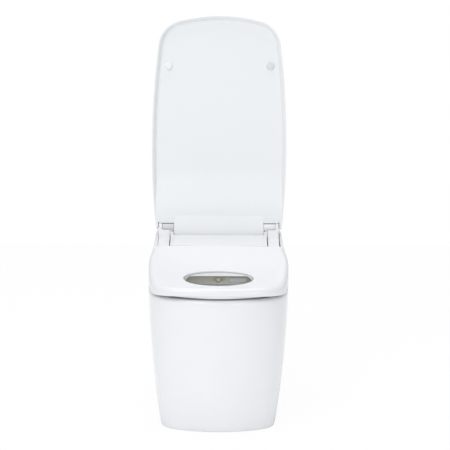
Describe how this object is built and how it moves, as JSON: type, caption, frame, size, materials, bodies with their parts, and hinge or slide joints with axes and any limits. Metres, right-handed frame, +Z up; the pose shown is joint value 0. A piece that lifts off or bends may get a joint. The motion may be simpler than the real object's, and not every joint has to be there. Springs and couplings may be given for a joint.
{
  "type": "bidet toilet",
  "caption": "Floor-standing one-piece bidet toilet with a tapering skirt, dished seat, raised lid, spray wand and warm-air dryer behind the bowl.",
  "frame": {"origin": "on the floor, in the middle of the overall width and depth", "axes": "-Y towards the user in front, +X to the left hand of a person sitting on it, +Z up"},
  "size_m": [0.39, 0.69, 1.0778],
  "materials": {
    "ceramic": "white glazed vitreous china",
    "seat_plastic": "white gloss thermoplastic",
    "lid_plastic": "white gloss thermoplastic",
    "housing_plastic": "white gloss ABS",
    "inner_plastic": "light grey moulded plastic",
    "damper_grey": "light grey acetal",
    "damper_white": "white acetal",
    "nozzle_grey": "grey plastic",
    "lamp_amber": "amber lens",
    "rubber_white": "off-white soft rubber",
    "rubber_black": "black rubber",
    "steel": "stainless steel",
    "zinc": "zinc-plated steel",
    "brass": "brass",
    "foil": "aluminium foil heating element",
    "board": "green circuit laminate",
    "motor_can": "pressed steel motor can",
    "fan_plastic": "dark moulded plastic"
  },
  "bodies": {
    "base": {"ceramic_body": "ceramic", "outlet_gasket": "rubber_black", "floor_brackets": "zinc", "side_screws": "steel", "side_caps": "housing_plastic", "hinge_brackets": "housing_plastic", "hinge_pins": "steel", "lid_damper": "damper_grey", "seat_damper": "damper_white", "housing_cover": "housing_plastic", "housing_base": "inner_plastic", "mounting_bolts": "steel", "mounting_nuts": "inner_plastic", "nozzle_shroud": "housing_plastic", "night_lamps": "lamp_amber", "wand_guide": "inner_plastic", "wand_motor": "motor_can", "blower_housing": "fan_plastic", "blower_motor": "motor_can", "dryer_duct": "fan_plastic", "water_heater": "inner_plastic", "inlet_valve": "brass", "flush_valve": "inner_plastic", "control_board": "board", "power_supply": "fan_plastic", "power_gland": "fan_plastic"},
    "seat": {"seat_shell": "seat_plastic", "seat_base": "seat_plastic", "seat_heater": "foil", "seat_buffers": "rubber_white"},
    "lid": {"lid_shell": "lid_plastic", "lid_buffers": "rubber_white"},
    "wand": {"spray_wand": "steel", "wand_tip": "nozzle_grey"},
    "pinion": {"wand_pinion": "inner_plastic"},
    "flap": {"dryer_flap": "housing_plastic"},
    "wheel": {"blower_wheel": "inner_plastic"}
  },
  "joints": [
    {"name": "lid_hinge", "type": "hinge", "parent": "base", "child": "lid", "pos_m": [0, 0.262, 0.468], "axis": [-1, 0, 0], "range_deg": [-100.7, 0]},
    {"name": "seat_hinge", "type": "hinge", "parent": "base", "child": "seat", "pos_m": [0, 0.262, 0.468], "axis": [-1, 0, 0], "range_deg": [0, 100]},
    {"name": "wand_slide", "type": "slide", "parent": "base", "child": "wand", "axis": [0, -0.9659, -0.2588], "range_m": [0, 0.09]},
    {"name": "pinion_turn", "type": "hinge", "parent": "base", "child": "pinion", "pos_m": [0.01299, 0.06818, 0.39899], "axis": [0, -0.2588, 0.9659], "range_deg": [0, 677]},
    {"name": "flap_hinge", "type": "hinge", "parent": "base", "child": "flap", "pos_m": [0.055, -0.038, 0.376], "axis": [-1, 0, 0], "range_deg": [0, 60]},
    {"name": "blower_spin", "type": "hinge", "parent": "base", "child": "wheel", "pos_m": [0.086, 0.172, 0.376], "axis": [0, 0, 1], "continuous": true}
  ],
  "couplings": [
    {"joint": "pinion_turn", "follows": "wand_slide", "rad_per_m": 130.9}
  ]
}
